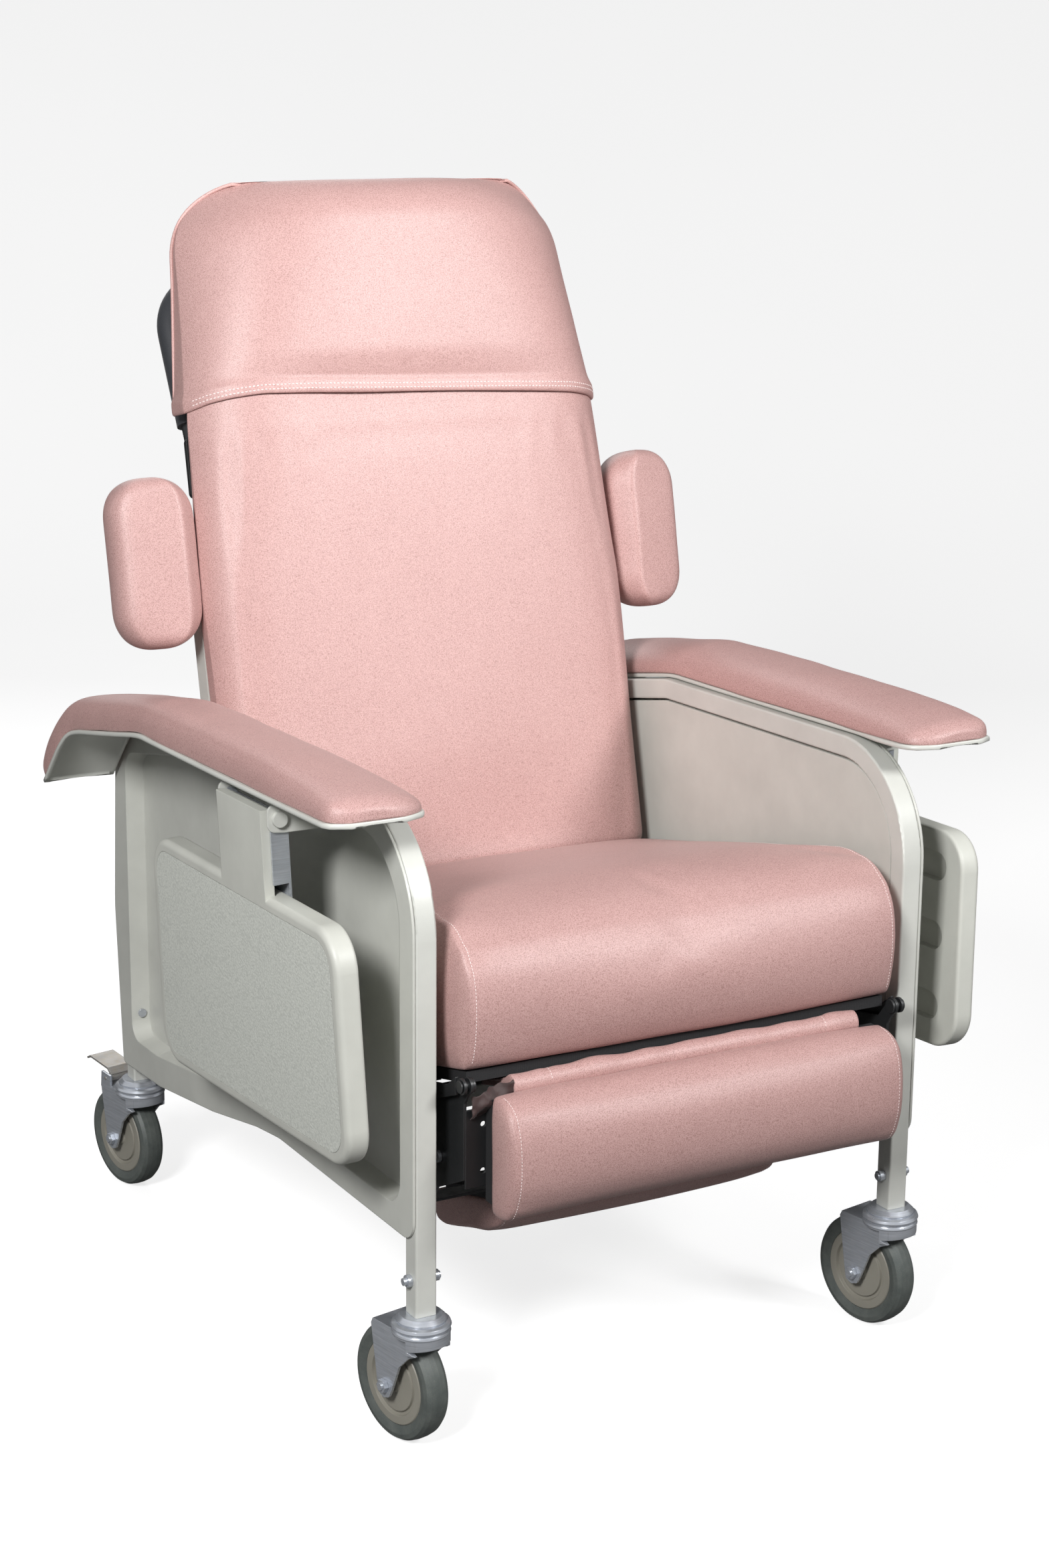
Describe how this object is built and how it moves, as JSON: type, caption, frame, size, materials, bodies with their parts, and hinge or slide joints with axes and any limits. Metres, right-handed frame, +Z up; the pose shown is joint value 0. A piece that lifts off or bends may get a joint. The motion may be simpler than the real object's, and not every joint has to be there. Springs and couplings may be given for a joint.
{
  "type": "patient recliner chair",
  "caption": "Reclining ward chair in rose vinyl: high back with head cover and side wings, padded armrests, rising leg rest, fold-up side trays, casters.",
  "frame": {"origin": "on the floor, on the chair's midplane, under the middle of its overall length with the leg rest down", "axes": "+X to a viewer's right when facing the chair, -Y out of the chair's front, +Z up"},
  "size_m": [0.803, 0.9694, 1.2553],
  "materials": {
    "frame_paint": "semi-gloss warm grey powder coat",
    "panel_plastic": "satin moulded warm grey",
    "tray_plastic": "satin moulded warm grey",
    "tray_texture": "fine pebbled cool grey",
    "vinyl_rose": "rose vinyl with a fine mottled print, satin",
    "zinc": "bright zinc plate",
    "black_steel": "black powder coat",
    "pedal_steel": "dull plated steel",
    "board_black": "board under a black dust cover",
    "back_shell": "satin warm grey",
    "foam_grip": "black closed-cell foam",
    "caster_rubber": "grey-green non-marking rubber",
    "hub_plastic": "taupe grey nylon"
  },
  "bodies": {
    "frame": {"side_frame_left": "frame_paint", "side_frame_right": "frame_paint", "cross_tubes": "frame_paint", "seat_rails": "black_steel", "seat_brackets": "frame_paint", "side_panel_left": "panel_plastic", "side_panel_right": "panel_plastic", "armrest_shell_left": "panel_plastic", "armrest_shell_right": "panel_plastic", "armrest_pad_left": "vinyl_rose", "armrest_pad_right": "vinyl_rose", "seat_board": "board_black", "seat_cushion": "vinyl_rose", "frame_fasteners": "zinc", "pivot_pins": "black_steel", "caster_stems": "zinc", "tray_bracket_left": "frame_paint", "tray_bracket_right": "frame_paint"},
    "backrest": {"back_frame": "frame_paint", "back_brackets": "frame_paint", "back_board": "back_shell", "back_cushion": "vinyl_rose", "headrest_cover": "vinyl_rose", "wing_pad_left": "vinyl_rose", "wing_pad_right": "vinyl_rose", "push_handle": "black_steel", "handle_grip": "foam_grip"},
    "lever": {"recline_lever": "black_steel"},
    "legrest": {"legrest_frame": "black_steel", "calf_board": "board_black", "calf_pad": "vinyl_rose", "legrest_flap": "vinyl_rose", "foot_pivots": "zinc"},
    "footrest": {"foot_frame": "black_steel", "foot_board": "board_black", "foot_pad": "vinyl_rose"},
    "tray_l": {"tray_left": "tray_plastic", "tray_inlay_left": "tray_texture", "tray_arm_left": "zinc"},
    "tray_r": {"tray_right": "tray_plastic", "tray_inlay_right": "tray_texture", "tray_arm_right": "zinc"},
    "fork_fl": {"caster_fork_fl": "zinc", "caster_axle_fl": "zinc"},
    "wheel_fl": {"caster_tyre_fl": "caster_rubber", "caster_hub_fl": "hub_plastic"},
    "fork_fr": {"caster_fork_fr": "zinc", "caster_axle_fr": "zinc"},
    "wheel_fr": {"caster_tyre_fr": "caster_rubber", "caster_hub_fr": "hub_plastic"},
    "fork_rl": {"caster_fork_rl": "zinc", "caster_axle_rl": "zinc"},
    "wheel_rl": {"caster_tyre_rl": "caster_rubber", "caster_hub_rl": "hub_plastic"},
    "pedal_rl": {"brake_pedal_rl": "pedal_steel"},
    "fork_rr": {"caster_fork_rr": "zinc", "caster_axle_rr": "zinc"},
    "wheel_rr": {"caster_tyre_rr": "caster_rubber", "caster_hub_rr": "hub_plastic"},
    "pedal_rr": {"brake_pedal_rr": "pedal_steel"}
  },
  "joints": [
    {"name": "backrest_recline", "type": "hinge", "parent": "frame", "child": "backrest", "pos_m": [0, 0.1538, 0.425], "axis": [-1, 0, 0], "range_deg": [0, 40]},
    {"name": "legrest_lift", "type": "hinge", "parent": "frame", "child": "legrest", "pos_m": [0, -0.4242, 0.402], "axis": [-1, 0, 0], "range_deg": [0, 90]},
    {"name": "footrest_unfold", "type": "hinge", "parent": "legrest", "child": "footrest", "pos_m": [0, -0.3642, 0.306], "axis": [-1, 0, 0], "range_deg": [0, 75]},
    {"name": "release_lever", "type": "hinge", "parent": "backrest", "child": "lever", "pos_m": [0.14, 0.29093, 0.90664], "axis": [-1, 0, 0], "range_deg": [0, 16]},
    {"name": "tray_lift_left", "type": "hinge", "parent": "frame", "child": "tray_l", "pos_m": [-0.381, -0.1772, 0.646], "axis": [0, 0.9997, -0.0253], "range_deg": [0, 92]},
    {"name": "tray_lift_right", "type": "hinge", "parent": "frame", "child": "tray_r", "pos_m": [0.381, -0.1772, 0.646], "axis": [0, -0.9997, 0.0253], "range_deg": [0, 92]},
    {"name": "swivel_fl", "type": "hinge", "parent": "frame", "child": "fork_fl", "pos_m": [-0.296, -0.3892, 0.13], "axis": [0, 0, 1], "continuous": true},
    {"name": "roll_fl", "type": "hinge", "parent": "fork_fl", "child": "wheel_fl", "pos_m": [-0.30189, -0.35775, 0.0635], "axis": [0.9829, 0.184, 0], "continuous": true},
    {"name": "swivel_fr", "type": "hinge", "parent": "frame", "child": "fork_fr", "pos_m": [0.296, -0.3892, 0.13], "axis": [0, 0, 1], "continuous": true},
    {"name": "roll_fr", "type": "hinge", "parent": "fork_fr", "child": "wheel_fr", "pos_m": [0.29011, -0.35775, 0.0635], "axis": [0.9829, 0.184, 0], "continuous": true},
    {"name": "swivel_rl", "type": "hinge", "parent": "frame", "child": "fork_rl", "pos_m": [-0.296, 0.3848, 0.13], "axis": [0, 0, 1], "continuous": true},
    {"name": "roll_rl", "type": "hinge", "parent": "fork_rl", "child": "wheel_rl", "pos_m": [-0.30189, 0.41625, 0.0635], "axis": [0.9829, 0.184, 0], "continuous": true},
    {"name": "brake_rl", "type": "hinge", "parent": "fork_rl", "child": "pedal_rl", "pos_m": [-0.30428, 0.42903, 0.14], "axis": [-0.9829, -0.184, 0], "range_deg": [0, 12]},
    {"name": "swivel_rr", "type": "hinge", "parent": "frame", "child": "fork_rr", "pos_m": [0.296, 0.3848, 0.13], "axis": [0, 0, 1], "continuous": true},
    {"name": "roll_rr", "type": "hinge", "parent": "fork_rr", "child": "wheel_rr", "pos_m": [0.29011, 0.41625, 0.0635], "axis": [0.9829, 0.184, 0], "continuous": true},
    {"name": "brake_rr", "type": "hinge", "parent": "fork_rr", "child": "pedal_rr", "pos_m": [0.28772, 0.42903, 0.14], "axis": [-0.9829, -0.184, 0], "range_deg": [0, 12]}
  ],
  "couplings": [
    {"joint": "legrest_lift", "follows": "backrest_recline", "ratio": 2.25},
    {"joint": "footrest_unfold", "follows": "backrest_recline", "ratio": 1.875}
  ]
}
